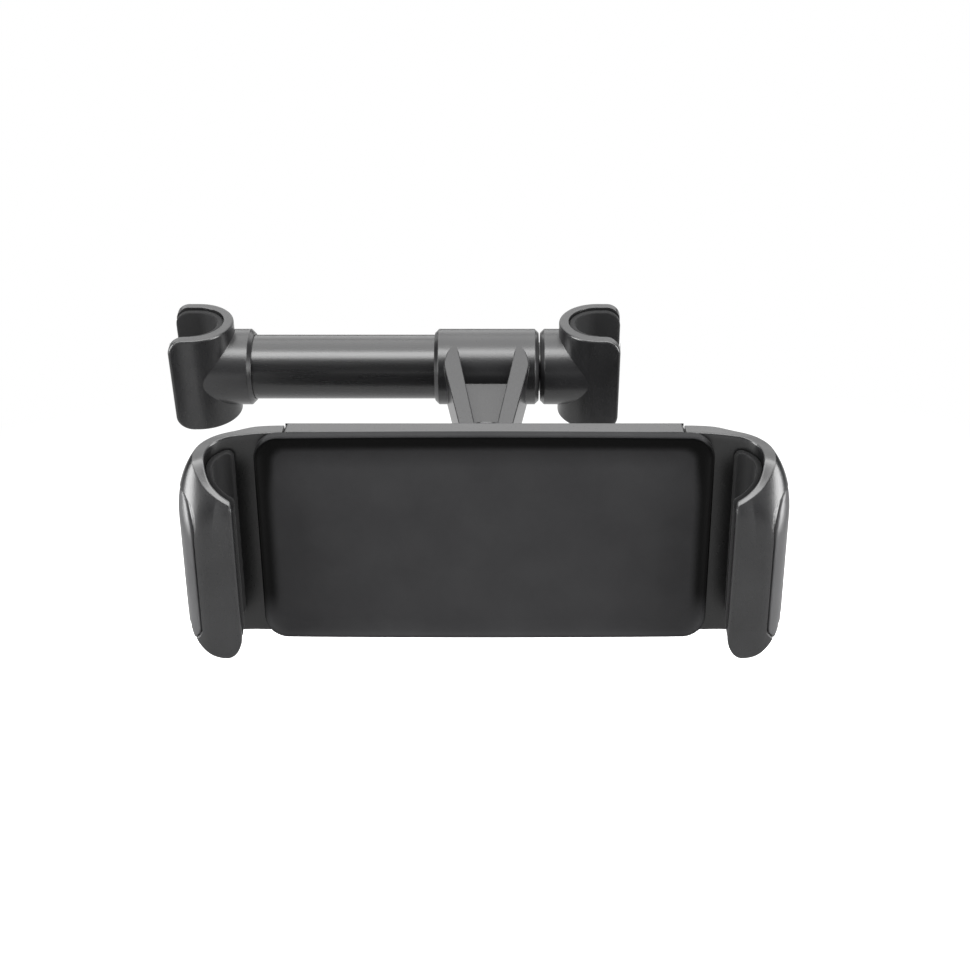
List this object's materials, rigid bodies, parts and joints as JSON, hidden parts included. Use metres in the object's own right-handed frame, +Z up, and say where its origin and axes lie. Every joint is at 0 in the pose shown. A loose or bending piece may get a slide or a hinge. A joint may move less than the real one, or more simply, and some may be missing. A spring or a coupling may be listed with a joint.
{
  "type": "headrest tablet mount",
  "caption": "Telescopic bar with lined claws for headrest posts, carrying a ball-jointed tablet holder with spring-loaded sliding jaws.",
  "frame": {"origin": "centre of the fixed claw's bore, on the bar axis", "axes": "+X along the bar towards the sliding claw, -Y the way the tablet faces, +Z up with the holder plate upright; the posts lean 9.5 degrees towards -Y"},
  "size_m": [0.1501, 0.0773, 0.0635],
  "materials": {
    "black_moulding": "fine-grained black moulding",
    "side_panel": "inset black panel, fine grain",
    "coated_tube": "satin black coat on drawn tube",
    "soft_rubber": "matt soft rubber",
    "bearing_plastic": "plain bearing plastic",
    "bright_rod": "ground bright rod",
    "spring_wire": "drawn spring wire",
    "screw_steel": "blackened screw steel"
  },
  "bodies": {
    "bar": {"left_claw": "black_moulding", "left_claw_liner": "soft_rubber", "left_claw_screw": "screw_steel", "outer_tube": "coated_tube", "outer_plug": "bearing_plastic", "guide_bush": "bearing_plastic", "neck": "black_moulding"},
    "slider": {"right_claw": "black_moulding", "right_claw_liner": "soft_rubber", "right_claw_screw": "screw_steel", "inner_tube": "coated_tube", "inner_plug": "bearing_plastic", "glide": "bearing_plastic", "friction_ring": "soft_rubber"},
    "tilt_cup": {"ball_cup": "bearing_plastic"},
    "pan_ring": {"seat_ring": "bearing_plastic"},
    "holder": {"front_frame": "black_moulding", "back_cover": "black_moulding", "cover_screws": "screw_steel", "front_pad": "soft_rubber", "left_upper_spring": "spring_wire", "left_lower_spring": "spring_wire", "right_upper_spring": "spring_wire", "right_lower_spring": "spring_wire"},
    "nut": {"lock_nut": "black_moulding"},
    "left_jaw": {"left_jaw": "black_moulding", "left_jaw_liner": "soft_rubber", "left_side_panel": "side_panel", "left_upper_rod": "bright_rod", "left_lower_rod": "bright_rod", "left_crosshead": "bearing_plastic"},
    "right_jaw": {"right_jaw": "black_moulding", "right_jaw_liner": "soft_rubber", "right_side_panel": "side_panel", "right_upper_rod": "bright_rod", "right_lower_rod": "bright_rod", "right_crosshead": "bearing_plastic"}
  },
  "joints": [
    {"name": "bar_slide", "type": "slide", "parent": "bar", "child": "slider", "axis": [1, 0, 0], "range_m": [0, 0.046]},
    {"name": "holder_tilt", "type": "hinge", "parent": "bar", "child": "tilt_cup", "pos_m": [0.0745, -0.0325, -0.0225], "axis": [1, 0, 0], "range_deg": [-2, 60]},
    {"name": "holder_pan", "type": "hinge", "parent": "tilt_cup", "child": "pan_ring", "pos_m": [0.0745, -0.0325, -0.0225], "axis": [0, 0, 1], "range_deg": [-14, 14]},
    {"name": "holder_turn", "type": "hinge", "parent": "pan_ring", "child": "holder", "pos_m": [0.0745, -0.0325, -0.0225], "axis": [0, 1, 0], "continuous": true},
    {"name": "nut_turn", "type": "hinge", "parent": "holder", "child": "nut", "pos_m": [0.0745, -0.0325, -0.0225], "axis": [0, 1, 0], "range_deg": [0, 120]},
    {"name": "left_jaw_slide", "type": "slide", "parent": "holder", "child": "left_jaw", "axis": [-1, 0, 0], "range_m": [0, 0.04], "stiffness_N_per_m": 300, "springref_m": -0.02, "deforming": ["left_upper_spring", "left_lower_spring"]},
    {"name": "right_jaw_slide", "type": "slide", "parent": "holder", "child": "right_jaw", "axis": [1, 0, 0], "range_m": [0, 0.04], "stiffness_N_per_m": 300, "springref_m": -0.02, "deforming": ["right_upper_spring", "right_lower_spring"]}
  ]
}
